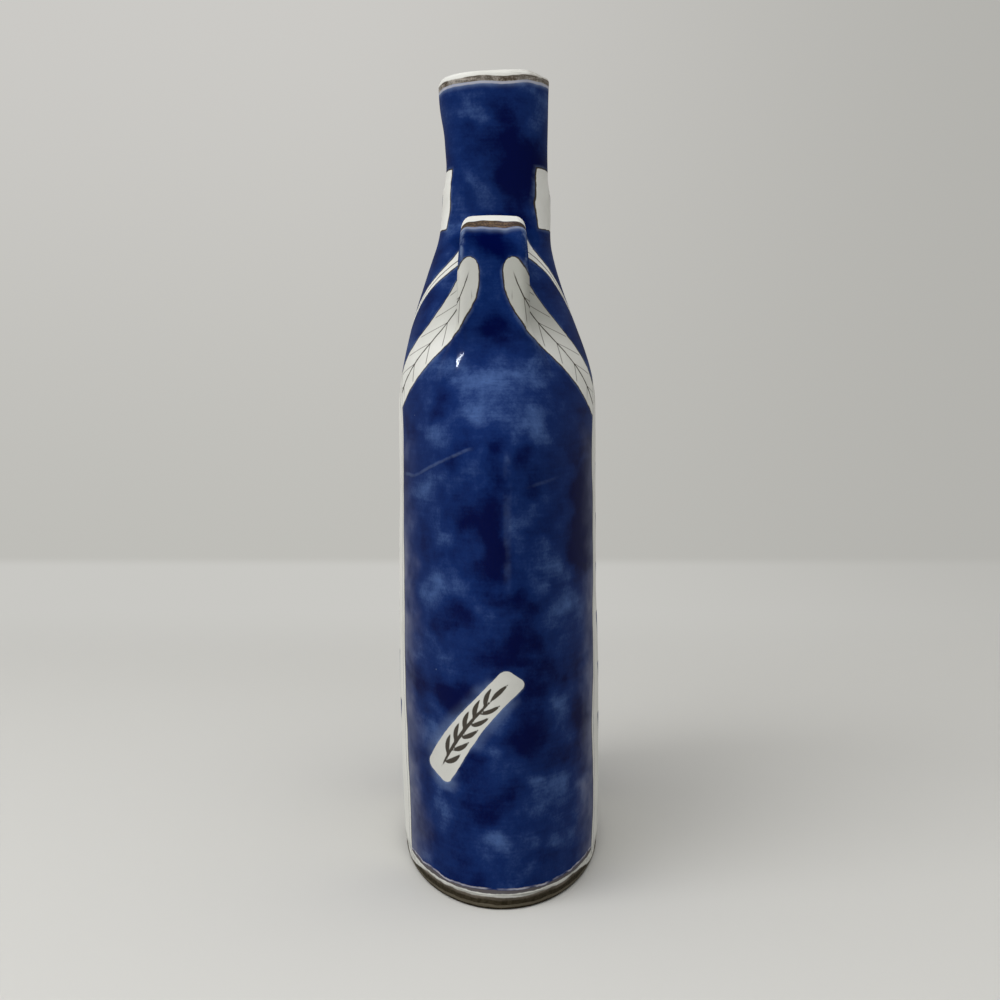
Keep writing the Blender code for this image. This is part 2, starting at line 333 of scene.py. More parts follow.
brushLight = [
    (-23, 167, 7, 6, 0.5), (11, 167, 6, 5, 0.4), (-13, 154, 7, 6, 0.35), (-26, 144, 6, 6, 0.4),
    (8, 139, 6, 4, 0.4), (-20, 133, 6, 5, 0.35), (19, 119, 8, 6, 0.8), (-26, 112, 6, 6, 0.9),
    (-12, 112, 5, 5, 0.45), (21, 106, 7, 6, 0.4), (3, 103, 4, 5, 0.4), (-24, 68, 4, 9, 0.4),
    (22, 63, 4, 11, 0.6), (-1, 51, 5, 5, 0.4), (10, 50, 6, 5, 0.3), (-2, 26, 5, 4, 0.7),
    (-23, 31, 5, 8, 0.4), (16, 23, 9, 4, 0.4), (20, 40, 6, 5, 0.35), (0, 182, 20, 15, 0.7),
    (-8, 287, 6, 7, 0.3), (-9, 262, 5, 6, 0.4), (-11, 248, 5, 4, 0.4), (10, 297, 7, 4, 0.3),
    (6, 238, 5, 3, 0.4),
]


# strap handle: up from the shoulder, square over and in to the neck
strap = {
    "path": [(0.0, -0.067, 0.190), (0.0, -0.067, 0.2421), (0.0, -0.012, 0.2421)],
    "Width": 0.024,
    "Thickness": 0.008,
    "Corner": 0.0032,
    "Bend": 0.012,
    "Rings": 90,
    "Around": 96,
    "topShare": 0.93,  # narrower over the bend, wider towards the shoulder
    "flare": 0.17,
    "flareTop": 0.247,
    "flareRun": 0.034,
    "rootFillet": (0.010, 0.005, 0.008),  # at the sides, the front and the back
    "neckFillet": (0.006, 0.005, 0.005),
    "filletRows": 24,
    "smoothing": 24,  # passes over the fillets
    "lean": 0.0030,
    "crown": 0.0007,  # the bend is a little higher in the middle
    "crownStart": 0.228,
    "rootCut": 0.212,  # sections that are carried on to the shoulder and the neck
    "neckCut": -0.040,
    # paint, in mm
    "lipTurn": 56.0,  # degrees round the bend where the white starts
    "lipRun": 11.0,  # white over the bend
    "lineRun": 3.9,  # brown line below it
    "farLine": 0.6,
    "wear": (1.4, 212.0, 8.0),  # reach on the corners, lowest height and run
    "glossEnd": (200.0, 208.0),
    "bridgeBottom": 222.0,
}
strapBend = (strap["path"][1][1] + strap["Bend"], strap["path"][1][2] - strap["Bend"])  # middle of the bend


def axisField(u, v, u0, v0, u1, v1):
    # mm along and across a line, and its length
    length = math.hypot(u1 - u0, v1 - v0)
    du, dv = (u1 - u0) / length, (v1 - v0) / length
    return (u - u0) * du + (v - v0) * dv, (v - v0) * du - (u - u0) * dv, length


def leafField(u, v, leaf, blunt=(0.82, 0.8)):
    # distance into a pointed leaf, then across its rib and the share along it
    halfWide, bend, sway = leaf[4:]
    along, across, length = axisField(u, v, *leaf[:4])
    along = along / length
    held = np.clip(along, 0, 1)
    across = across - bend * np.sin(math.pi * held) - sway * np.sin(2 * math.pi * held)
    reach = halfWide * np.sin(math.pi * held ** blunt[0]) ** blunt[1]
    past = length * np.maximum(0, np.maximum(-along, along - 1))
    return (reach - np.abs(across)) * 0.9 - past, across, along


def stripField(u, v, strip):
    # distance into a bowed strip with round corners, then across and along it
    halfWide, bow, corner = strip[4:]
    along, across, length = axisField(u, v, *strip[:4])
    across = across - bow * np.sin(math.pi * np.clip(along / length, 0, 1))
    pastEnd = np.abs(along - length / 2) - length / 2 + corner
    pastSide = np.abs(across) - halfWide + corner - 0.25 * np.sin(along / 7)
    outside = np.hypot(np.maximum(pastEnd, 0), np.maximum(pastSide, 0))
    return corner - outside - np.minimum(np.maximum(pastEnd, pastSide), 0), across, along


def nearestLeaf(u, v, leaves, blunt=(0.82, 0.8)):
    best = [np.full_like(u, off), np.full_like(u, -off), np.zeros_like(u)]
    for leaf in leaves:
        field = leafField(u, v, leaf, blunt)
        wins = field[0] > best[0]
        best = [np.where(wins, new, old) for new, old in zip(field, best)]
    return best


def leafRoot(pair, side):
    # height where a leaf leaves the stem
    low = spray["stemBottom"] + spray["first"] + spray["stagger"] * (side > 0)
    return low + pair * spray["span"] / (spray["pairs"] - 1)


def sprayLeaves():
    leaves = []
    for pair in range(spray["pairs"]):
        share = pair / (spray["pairs"] - 1)
        length, half = [low + (high - low) * share for low, high in (spray["length"], spray["half"])]
        for side in (-1, 1):
            low = leafRoot(pair, side)
            stem = stemAt(low)
            leaves.append((stem + side * 1.2, low, stem + side * length * 0.9, low + length * 0.72,
                           half, side * 2.6, 0.0))
    top = spray["stemTop"]
    leaves.append((stemAt(top - 8), top - 8, stemAt(top) + 1, top + 15, spray["half"][1], 0.6, 0.0))
    return leaves


def tagSprig():
    # a stem along the strip, with small leaves on both sides
    first, step, pairs, length, spread, half = stripSprig.values()
    end = first + step * pairs
    leaves = [(first - 4, 0.0, end + 3, 0.0, 0.65, 0.4, 0.0),
              (end - 1.5, 0.2, end + length, 0.0, half, 0.2, 0.0)]
    for pair in range(pairs):
        for side in (-1, 1):
            root = first + step * (pair + 0.25 * side)
            leaves.append((root, 0.3 * side, root + length, spread * side, half, 0.5 * side, 0.0))
    return leaves


def stemAt(z):
    share = (z - spray["stemBottom"]) / (spray["stemTop"] - spray["stemBottom"])
    return spray["sway"] * np.sin(share * 2 * math.pi)


def berryField(u, v):
    # round berries on short stalks
    best = np.full_like(u, off)
    for pair in range(spray["pairs"] - 1):
        for side in (-1, 1):
            low = leafRoot(pair, side) + 8
            stem = stemAt(low)
            tipU, tipV = stem + side * 5.5, low + 7.5
            best = np.maximum(best, leafField(u, v, (stem, low, tipU, tipV, 0.5, side * 0.4, 0.0))[0])
            best = np.maximum(best, spray["berry"] - np.hypot(u - tipU, v - tipV))
    return best


def points(mesh):
    flat = np.empty(len(mesh.vertices) * 3, np.float32)
    mesh.vertices.foreach_get("co", flat)
    return flat.reshape(-1, 3).astype(float).T / mm


def store(mesh, fields):
    for name, values in fields.items():
        layer = mesh.attributes.get(name) or mesh.attributes.new(name, "FLOAT", "POINT")
        layer.data.foreach_set("value", np.asarray(values, np.float32))


def brushField(x, z):
    # patches with wavy edges
    u = x + 1.3 * np.sin(z / 4.1 + x / 9) + 0.7 * np.sin(z / 1.9)
    v = z + 1.6 * np.sin(x / 3.3 + z / 11) + 0.8 * np.sin(x / 1.7)
    total = np.zeros_like(x)
    for sign, patches in ((-1, brushDark), (1, brushLight)):
        for px, pz, rx, rz, strength in patches:
            far = ((u - px) / rx) ** 2 + ((v - pz) / rz) ** 2
            total += sign * strength * np.exp(-far ** 1.4)
    return total


def creaseField(x, z):
    # crease where the shoulder was luted on, bowed on the left and straight on the right
    start, length, low, climb, bow = layout["leftCrease"]
    share = np.clip((x - start) / length, 0, 1)
    leftLine = low + climb * share + bow * np.sin(math.pi * share)
    start, low, slope = layout["rightCrease"]
    return z - np.where(x < 0, leftLine, low + (x - start) * slope)


def softStep(values, low, high):
    share = np.clip((values - low) / (high - low), 0, 1)
    return share * share * (3 - 2 * share)


def vesselFields(x, y, z):
    # painted shapes as distances in mm, above 0 inside or 0 along a line
    leftWidth, rightWidth = [half - taper * softStep(z, low, high) for half, (taper, low, high)
                             in zip(layout["panelHalf"], layout["panelTaper"])]
    width = np.where(x < 0, leftWidth, rightWidth)
    spring, archRise = layout["panelArch"]
    arch = spring + archRise * np.sqrt(np.clip(1 - (y / width) ** 2, 0, 1))
    panel = np.minimum(width - np.abs(y), (arch - z) * 0.8)

    # band round the shoulder, climbing a little beside the strap
    around = np.arctan2(y, x)
    middle, swing, collarHalf, collarReach = layout["collar"]
    collar = (z - middle + swing * np.cos(2 * around)) * 0.8
    collar = np.where(np.abs(y) < collarReach, collar, off)
    leftRise, rightRise, riseReach = layout["collarRise"]
    fromStrap = np.maximum(np.abs(x + strap["lean"] / mm) - strap["Width"] / mm / 2, 0)
    rise = np.where(x < 0, leftRise, rightRise) * np.exp(-fromStrap / riseReach) * (y < 0)
    band = np.minimum(collarHalf - collar + rise, collarHalf + collar)
    height, leftReach, rightReach, halfZ, spread = layout["neckPanel"]
    reach = np.where(x < 0, leftReach, rightReach) + spread * (height - z)
    neckPanel = np.minimum(reach - np.abs(y), halfZ - np.abs(z - height))

    # leaves and strip on the near end
    near = np.where(y < 0, 0.0, off)
    shoulderLeaf = nearestLeaf(x, z, layout["shoulderLeaves"], layout["leafRound"])
    shoulderLeaf[0] = shoulderLeaf[0] * (1 + softStep(y, -70, -40))  # a thin outline on the broad side
    whiteLeaf = [np.where(panel > -0.4, off, shoulderLeaf[0] + near), *shoulderLeaf[1:]]
    tag, fromStem, along = stripField(x, z, layout["tag"])
    sprigField = nearestLeaf(along, fromStem, tagSprig())[0]

    # paint of the lip, which follows the mouth unevenly
    raised, raiseStart, raiseEnd = layout["lipRaise"]
    droop = vessel["Mouth Droop"] * softStep(x * mm, *uneven["droopAcross"])
    droop = droop * (1 - softStep(y * mm, *uneven["droopAlong"]))
    level = z - vessel["Mouth Tilt"] * x + droop / mm - raised * softStep(x, raiseStart, raiseEnd)
    level = level + 0.25 * np.sin(5 * around + 2.1) + 0.15 * np.sin(11 * around)
    ground = np.maximum.reduce([panel, layout["footLine"] - z, band, neckPanel, shoulderLeaf[0] + near,
                                tag * 1.8 + near, level - layout["lipEdge"]])

    # blue leaves: a spray on each broad side and a small sprig on the neck
    onNeck = z > layout["neckStart"]
    side = np.where(np.abs(y) < width, 0.0, off)
    turned = y * np.sign(x)
    sprig = [(0, height - 9, 0.5, height + 10, 2.4, 0.8, 0), (0, height - 5, 7.4, height + 3, 1.9, 0.8, 0),
             (0, height - 5, -7.4, height + 3, 1.9, -0.8, 0)]
    blueLeaf = [np.where(onNeck, small, large) for small, large
                in zip(nearestLeaf(turned, z, sprig), nearestLeaf(turned, z, sprayLeaves()))]
    blueLeaf[0] = blueLeaf[0] + side
    white = whiteLeaf[0] > blueLeaf[0]
    onPanel = (np.abs(y) < width) & (z < spring + archRise + 4)
    rimMiddle, rimHalf = layout["rimLine"]
    return {
        "ground": ground,
        "band": band,
        "border": panel - layout["panelBorder"],
        "edge": np.minimum(width - np.abs(y), (arch - z) * 2),
        "collar": collar,
        "leaf": blueLeaf[0],
        "anyLeaf": np.maximum(blueLeaf[0], whiteLeaf[0]),
        "rib": np.where(white, whiteLeaf[1], blueLeaf[1]),
        "along": np.where(white, whiteLeaf[2], blueLeaf[2]),
        "berry": berryField(turned, z) + side + off * onNeck,
        "stem": np.where(onPanel, turned - stemAt(z), -off),
        "crease": np.where(y < 0, creaseField(x, z), -off),
        "patch": np.where(y < 0, brushField(x, z), 0),
        "oxide": rimHalf - np.abs(level - rimMiddle),
        "lip": level - layout["lipEdge"],
        "tag": tag + near, "sprig": sprigField + near,
        "wear": np.zeros_like(x), "gloss": np.ones_like(x),
    }


# glaze colours, linear
tones = {
    "deep": (0.0003, 0.0026, 0.041, 1),
    "cobalt": (0.0052, 0.0205, 0.107, 1),
    "pale": (0.061, 0.115, 0.285, 1),
    "white": (0.700, 0.700, 0.665, 1),
    "cream": (0.610, 0.605, 0.565, 1),
    # greyer white, for the painted shade on the strap's leaves and by the foot, and for the strip
    "greyWhite": (0.290, 0.295, 0.262, 1),
    "line": (0.036, 0.028, 0.020, 1),
    "oxide": (0.330, 0.292, 0.255, 1),
    "rust": (0.210, 0.140, 0.080, 1),
    "darkOxide": (0.058, 0.043, 0.030, 1),
    "wash": (0.115, 0.101, 0.092, 1),
    "thinEdge": (0.128, 0.140, 0.215, 1),
    "thinBlue": (0.23, 0.31, 0.47, 1),
    "bareEdge": (0.50, 0.49, 0.54, 1),
    "footDark": (0.019, 0.015, 0.008, 1),
    "footBrown": (0.043, 0.035, 0.022, 1),
    # paler brown for rubbed wear and a painted highlight on the foot
    "footRubbedLit": (0.200, 0.172, 0.142, 1),
    "footLine": (0.150, 0.131, 0.096, 1),
}
# how the glaze is laid on: noise scales per metre, reaches in mm, heights in metres
glaze = {
    "clouds": 60.0,
    "drifts": 170.0,
    "dabs": 110.0,
    "dabStir": (0.009, 0.009, 0.009),
    "depth": 0.42,  # how pale the blue is, and the share of each layer in that
    "shares": (0.8, 0.24, 0.5, 0.35, 0.22, 0.26),
    "patches": 0.5,
    "shakes": ((210.0, 0.9), (900.0, 0.25)),  # scale and reach of the unsteady edges
    "thinReach": 26.0,  # thin, purplish blue beside the panels
    "thinStray": (32.0, 16.0),
    "thinTop": (0.10, 0.155),
    "washTop": 7.2,  # brown wash over the white ring
    "rimStart": (0.27, 0.28),
    "veins": 7,
    "veinSlant": 0.2,
    "seam": 0.0020,
}


def emptyBoard(holder):
    holder.use_nodes = True
    holder.node_tree.nodes.clear()
    return Board(holder.node_tree)


def newFinish(name):
    material = bpy.data.materials.new(name)
    board = emptyBoard(material)
    return material, board, board.add("ShaderNodeTexCoord", None, "Object")


def endFinish(board, values):
    shader = board.add("ShaderNodeBsdfPrincipled", values)
    board.add("ShaderNodeOutputMaterial", {"Surface": shader})


def stroke(field, half, soft=0.2):  # a painted line where a field crosses zero
    return 1 - abs(field).ease(half, half + soft)


def cobaltLayer(board, place):
    # cobalt brushed on sideways: clouds, dabs, drifts, hair lines and grain
    brushed = board.stretch(place, (1, 0.4, 1))
    clouds = board.noise(brushed, glaze["clouds"], 2.0, 0.5, 0.5)
    drifts = board.noise(brushed, glaze["drifts"], 3.0, 0.55, 0.3)
    stir = board.noise(brushed, glaze["dabs"], 2.0, 0.5, 0.0, "Color")
    stirred = board.add("ShaderNodeVectorMath", [stir, glaze["dabStir"], brushed], operation="MULTIPLY_ADD")
    dab = {"Vector": stirred, "Scale": glaze["dabs"], "Smoothness": 0.6}
    dabs = board.split(board.add("ShaderNodeTexVoronoi", dab, "Color", feature="SMOOTH_F1"))[0]
    strokes = board.noise(board.stretch(place, (150, 60, 90), (0, 0.6, 0)), 1.0, 3.0, 0.55)
    combed = board.noise(board.stretch(place, (60, 24, 800)), 1.0, 3.0, 0.6)
    grain = board.noise(place, 1100.0, 2.0, 0.6)
    depth = glaze["depth"] + board.mark("patch") * glaze["patches"]
    for layer, share in zip((clouds, dabs, drifts, strokes, combed, grain), glaze["shares"]):
        depth = depth + (layer - 0.5) * share
    blue = board.blend(depth.ease(-0.05, 0.52), "deep", "cobalt")
    return board.blend(depth.ease(0.42, 1.05), blue, "pale"), clouds, drifts, strokes, combed


def whiteLayer(board, place):
    # warm white with a faint speckle
    mist = board.noise(place, 60.0, 3.0, 0.55)
    speck = board.noise(place, 900.0, 2.0, 0.6)
    share = mist.ease(0.35, 0.75) * 0.5 + speck.ease(0.62, 0.72) * 0.5
    return board.blend(share, "white", "cream")


def glazeFinish(name):
    material, board, place = newFinish(name)
    mark, blend, noise = board.mark, board.blend, board.noise
    x, y, z = board.split(place)
    blue, clouds, drifts, strokes, combed = cobaltLayer(board, place)
    white = whiteLayer(board, place)

    # hand-painted edges
    shake = sum((noise(place, scale) - 0.5) * reach for scale, reach in glaze["shakes"])
    press = noise(place, 130.0, 2.0)  # weight of the brush
    wide = 0.05 + press * 0.24
    ground = mark("ground") + shake
    onWhite = ground.ease(-0.15, 0.15)
    leafEdge = mark("leaf") + shake * 0.7
    tag = mark("tag")
    tint = blend((clouds * 0.5 + drifts * 0.5).ease(0.3, 0.7), "cobalt", "pale")
    panelEdge = mark("edge") + shake * 2
    cloudStray, strokeStray = glaze["thinStray"]
    thin = panelEdge + (clouds - 0.5) * cloudStray + (strokes - 0.5) * strokeStray
    thin = (thin / glaze["thinReach"] + 1).clamp() ** 2
    thin = thin * (0.5 + drifts * 1.1) * (1 - z.ease(*glaze["thinTop"]) * 0.6)
    colour = blend(thin.clamp(), blue, "thinEdge")
    halo = (ground + 1.5).ease(0.0, 1.4) * drifts.ease(0.3, 0.7) * 0.26  # the blue thins out beside the white
    glow = (tag + shake + 4.5).ease(0.0, 4.2) * clouds.ease(0.38, 0.66) * 0.24
    lip = mark("lip") + shake * 0.5
    underLip = (lip + 3.8).ease(0.0, 3.6) ** 2 * (1 - lip.ease(0.0, 0.4))
    fade = underLip * (0.2 + drifts * 0.5)
    colour = blend((halo * (1 - thin) + glow + fade).clamp(), colour, "thinBlue")
    ragged = (noise(place, 65.0, 3.0) - 0.5) * 3.0
    height = z * 1000 + ragged + shake
    washed = 1 - (height - glaze["washTop"]).ease(-0.3, 0.3)
    colour = blend(washed * 0.85, colour, "wash")
    onRim = z.ease(*glaze["rimStart"])
    bareEdge = stroke(lip + 0.5, 0.3, 0.35) * (0.35 + press).clamp() * (0.35 + onRim * 0.65)
    bareEdge = bareEdge + stroke(height - glaze["washTop"] - 0.4, 0.15, 0.3) * press.ease(0.3, 0.6)
    colour = blend((bareEdge * 0.75).clamp(), colour, "bareEdge")
    # painted shade: the upper parts of the white leaves on the strap's front are greyed, more on the right
    # side
    paintedLeafShade = mark("anyLeaf").ease(-0.5, 0.2) * z.ease(0.195, 0.214)
    paintedLeafShade = paintedLeafShade * (0.42 + x.ease(-0.01, 0.01) * 0.33)
    # the white ring above the foot is greyed: partly painted shade near the floor, partly grey glaze pooling
    # in streaks
    ring = (1 - z.ease(0.0062, 0.0085)) * (0.12 + drifts.ease(0.42, 0.7) * 0.5)
    strip = (tag + 0.6).ease(0.0, 0.4) * 0.25
    white = blend((paintedLeafShade + ring + strip).clamp(), white, "greyWhite")
    colour = blend(onWhite, colour, white)
    colour = blend(leafEdge.ease(-0.12, 0.12) * onWhite, colour, tint)

    # thin brown lines: outlines, borders, ribs, veins, stems and berries
    rib = mark("rib")
    along = mark("along")
    fan = (along * glaze["veins"] - abs(rib) * glaze["veinSlant"]).do("FRACT")
    vein = (1 - abs(fan - 0.5).ease(0.015, 0.05)) * along.within(0.14, 0.2, 0.80, 0.86)
    vein = vein * mark("anyLeaf").ease(1.0, 1.6) * 0.7
    midrib = stroke(rib + shake * 0.5, wide * 0.6) * along.within(0.06, 0.12, 0.9, 0.97)
    lines = (midrib + vein) * mark("anyLeaf").ease(0.2, 0.5)
    stem = stroke(mark("stem") + shake, wide + 0.15) * z.within(0.0195, 0.0205, 0.162, 0.164)
    for line in (stroke(leafEdge, wide * 0.6), stroke(mark("border") + shake, wide * 0.7),
                 stroke(mark("border") + layout["panelBorder"] + shake, wide * 0.8),
                 stroke(mark("collar") + shake * 0.6, wide * 0.6), stem,
                 (mark("berry") + shake * 0.5).ease(-0.1, 0.1)):
        lines = lines.do("MAXIMUM", line * onWhite)
    outline = stroke(ground, wide, 0.16) * (1 - lip.ease(-2.0, -1.5)) * (1 - tag.ease(-3.0, -2.0))
    outline = outline.do("MAXIMUM", stroke(panelEdge, 0.3, 0.8) * 0.55)
    lines = lines.do("MAXIMUM", outline * z.ease(0.0085, 0.0105))
    lines = lines.do("MAXIMUM", (mark("sprig") + shake * 0.35).ease(-0.1, 0.15))
    lines = lines * (1 - mark("inside").ease(0.3, 0.5)) * press.ease(0.10, 0.34)
    colour = blend(lines * 0.96, colour, "line")

    # a pale crease in the glaze, worn edges, pinholes and bands of bare oxide
    creased = stroke(mark("crease") + shake * 0.9, 0.15, 0.8) * drifts.ease(0.25, 0.6)
    creased = creased * (1 - x.ease(-0.013, -0.009) + x.within(0.008, 0.011, 0.016, 0.022) * 0.45)
    seam = stroke((x - glaze["seam"]) * 1000 + shake, 0.4, 1.6) * z.within(0.108, 0.125, 0.155, 0.166)
    seam = seam * (1 - y.ease(-0.05, -0.04)) * drifts.ease(0.3, 0.65)
    pale = ((creased * 0.14 + seam * 0.07) * (1 - onWhite)).clamp()
    wear = mark("wear") * (1 - onWhite) * noise(place, 300.0, 3.0, 0.6).ease(0.36, 0.66)
    colour = blend((pale + wear * 0.6).clamp(), colour, "thinBlue")
    hole = board.add("ShaderNodeTexVoronoi", {"Vector": place, "Scale": 95.0})
    sparse = noise(place, 40.0, 1.0).ease(0.5, 0.62)
    pinhole = (1 - hole.ease(0.018, 0.036)) * sparse
    colour = blend(pinhole * 0.5, colour, "thinBlue")
    grain = noise(place, 1500.0, 2.0, 0.6)
    oxide = (mark("oxide") + shake * 0.6).ease(-0.15, 0.25)
    dragged = noise(board.stretch(place, (160, 160, 900)), 1.0, 3.0, 0.6)  # brush drag round the band
    worn = (grain * 0.4 + dragged * 0.6 + 0.06 - onRim * 0.03).ease(0.38, 0.62)
    bare = blend(worn, blend(onRim, "rust", "oxide"), "darkOxide")
    colour = blend(oxide * (0.55 + press * 0.8).clamp(), colour, bare)
    upperEdge = stroke(mark("oxide") + shake * 0.6 - 0.25, 0.12, 0.3) * lip.ease(1.0, 1.6)
    colour = blend(upperEdge * press.ease(0.36, 0.56) * 0.75, colour, "darkOxide")
    rubbedLip = lip.ease(1.7, 2.3) * onRim * x.ease(0.002, 0.013) * dragged.ease(0.4, 0.56)
    colour = blend(rubbedLip * 0.55, colour, "oxide")
    colour = blend(mark("inside").ease(0.45, 0.75), colour, white)

    # a thin clear gloss, with brush ridges and slightly sunk lines
    roughness = 0.35 + drifts * 0.1 + oxide * 0.2 + wear * 0.15
    relief = combed * 0.00008 + strokes * 0.0001 + drifts * 0.00022 - lines * 0.00008 - pinhole * 0.0004
    relief = relief + creased * 0.0002 + grain * oxide * 0.0001
    bump = board.add("ShaderNodeBump", {"Strength": 0.5, "Distance": 1.0, "Height": relief})
    endFinish(board, {"Base Color": colour, "Roughness": roughness, "Normal": bump, "Specular IOR Level": 0.0,
                      "IOR": 1.5, "Coat Weight": mark("gloss") * 0.08, "Coat Roughness": 0.09})
    return material


def footFinish():
    material, board, place = newFinish("brownFoot")
    x, y, z = board.split(place)
    grain = board.noise(place, 700.0, 4.0, 0.65)
    smear = board.noise(board.stretch(place, (70, 70, 600)), 1.0, 3.0, 0.6)
    shake = (board.noise(place, 160.0, 3.0) - 0.5) * 0.0012
    level = z + shake
    colour = board.blend(grain.ease(0.3, 0.7), "footDark", "footBrown")
    rubbedAndLit = (smear.ease(0.3, 0.7) * 0.7 + 0.3) * level.ease(0.0032, 0.0043)  # paler towards the top: partly rubbed wear, partly a painted highlight where the rounded foot turns up
    colour = board.blend(rubbedAndLit * 0.8, colour, "footRubbedLit")
    thin = stroke((level - 0.0015) * 1000, 0.3, 0.4) * (0.3 + smear)
    colour = board.blend((thin * 0.8).clamp(), colour, "footLine")
    run = abs(x).ease(0.027, 0.037) * (1 - y.ease(-0.045, -0.02)) * 0.0034
    glazed = (level + run).ease(0.0044, 0.0050)  # white glaze over the top edge
    # the white glaze on the foot's top is greyed: partly painted shade near the floor, partly smeared glaze
    ringShadeAndSmear = 0.12 + smear.ease(0.42, 0.7) * 0.5
    colour = board.blend(glazed, colour, board.blend(ringShadeAndSmear, whiteLayer(board, place), "greyWhite"))
    roughness = 0.5 + grain * 0.25 - glazed * 0.35
    relief = grain * (1 - glazed * 0.8)
    bump = board.add("ShaderNodeBump", {"Strength": 0.6, "Distance": 0.0006, "Height": relief})
    endFinish(board, {"Base Color": colour, "Roughness": roughness, "Normal": bump,
                      "Specular IOR Level": 0.03})
    return material


# brown foot: a chamfered oval slab with a plug that stands in the wall
foot = {
    "height": 0.0055,
    "chamfer": 0.0012,
    "plugTop": 0.0095,
    "plugGap": 0.0004,
    "sink": 0.0004,  # the foot is a shade smaller than the wall on it
    "columns": 360,
}


def makeFoot(material):
    lowX = vessel["Half Thickness"] - vessel["Belly"] - foot["sink"]
    wide = vessel["Half Width"] - foot["sink"]
    plug = vessel["Wall"] + foot["plugGap"]
    rings = [(foot["chamfer"], 0.0), (foot["chamfer"] * 0.4, 0.0004), (0.0, foot["chamfer"])]
    rings += [(0.0, foot["height"] * share) for share in (0.45, 0.7, 0.9)]
    rings += [(0.0003, foot["height"]), (plug, foot["height"])]
    rings += [(plug, foot["plugTop"] - 0.001), (plug + 0.001, foot["plugTop"])]
    angles = [2 * math.pi * step / foot["columns"] for step in range(foot["columns"])]
    rows = [[((lowX - inset) * math.cos(angle), (wide - inset) * math.sin(angle), z) for angle in angles]
            for inset, z in rings]
    return addPiece("footSlab", loftRows("foot", rows, material), "brown_foot", "base_slab")


# wall halves, shoulder, neck and lip, each a length of the same oval shell
wholeTurn = {"Crown": 0.0, "Start Angle": 0.0, "Sweep": 2 * math.pi, "Columns": 360, "Crown Rows": 2}
halfTurn = {**wholeTurn, "slot": "body_glaze", "Bottom": foot["height"], "Top": vessel["Wall Top"],
            "Sweep": math.pi, "Outer Rows": 180, "Inner Rows": 40}
lipFoot = 0.2987
shells = {
    "leftWall": {**halfTurn, "node": "left_wall_half", "Start Angle": math.pi / 2},
    "rightWall": {**halfTurn, "node": "right_wall_half", "Start Angle": -math.pi / 2},
    "shoulder": {**wholeTurn, "node": "shoulder_cap", "slot": "shoulder_glaze", "Bottom": vessel["Wall Top"],
                 "Top": vessel["Neck Joint"], "Columns": 720, "Outer Rows": 100, "Inner Rows": 24},
    "neck": {**wholeTurn, "node": "neck_tube", "slot": "neck_glaze", "Bottom": vessel["Neck Joint"],
             "Top": lipFoot, "Outer Rows": 130, "Inner Rows": 40},
    "mouthLip": {**wholeTurn, "node": "rim_coil", "slot": "rim_glaze", "Bottom": lipFoot, "Top": 0.3042,
                 "Crown": 0.0025, "Outer Rows": 18, "Crown Rows": 16, "Inner Rows": 10},
}

cobaltGlaze = glazeFinish("cobaltGlaze")
print("finishes made")

makeFoot(footFinish())
shellTree = makeShellTree()
pieces = {}
for name, sizes in shells.items():
    mesh = bakeTree(name, shellTree, {**vessel, **sizes, "Finish": cobaltGlaze})
    if sizes["Sweep"] < 2 * math.pi:
        closeHoles(mesh)
    store(mesh, vesselFields(*points(mesh)))
    pieces[name] = addPiece(name, mesh, sizes["slot"], sizes["node"])


def makeStrapTree():
    tree = bpy.data.node_groups.new("strapAlongPath", "GeometryNodeTree")
    tree.interface.new_socket("Path", in_out="INPUT", socket_type="NodeSocketGeometry")
    board, size = groupInputs(tree, ["Width", "Thickness", "Corner", "Bend"], ["Rings", "Around"])
    bend = {"Curve": size["Path"], "Radius": size["Bend"], "Count": 24}
    path = board.add("GeometryNodeFilletCurve", bend, mode="POLY")
    path = board.add("GeometryNodeResampleCurve", {"Curve": path, "Count": size["Rings"]}, mode="COUNT")
    oblong = {"Width": size["Width"], "Height": size["Thickness"]}
    section = board.add("GeometryNodeCurvePrimitiveQuadrilateral", oblong)
    corner = {"Curve": section, "Radius": size["Corner"], "Count": 8, "Limit Radius": True}
    section = board.add("GeometryNodeFilletCurve", corner, mode="POLY")
    around = {"Curve": section, "Count": size["Around"]}
    section = board.add("GeometryNodeResampleCurve", around, mode="COUNT")
    swept = board.add("GeometryNodeCurveToMesh", {"Curve": path, "Profile Curve": section})
    groupOutput(board, swept, size["Finish"])
    return tree


def strapPath():
    curve = bpy.data.curves.new("strapPath", "CURVE")
    curve.dimensions = "3D"
    line = curve.splines.new("POLY")
    line.points.add(len(strap["path"]) - 1)
    for point, place in zip(line.points, strap["path"]):
        point.co = (*place, 1.0)
    return curve


def bodySurface(*objects):
    places, faces = [], []
    for piece in objects:
        shift = len(places)
        places += [vertex.co.copy() for vertex in piece.data.vertices]
        faces += [[shift + index for index in face.vertices] for face in piece.data.polygons]
    return BVHTree.FromPolygons(places, faces)


def gapTo(surface, place):
    spot, normal, index, distance = surface.find_nearest(place)
    return math.copysign(distance, (place - spot).dot(normal))


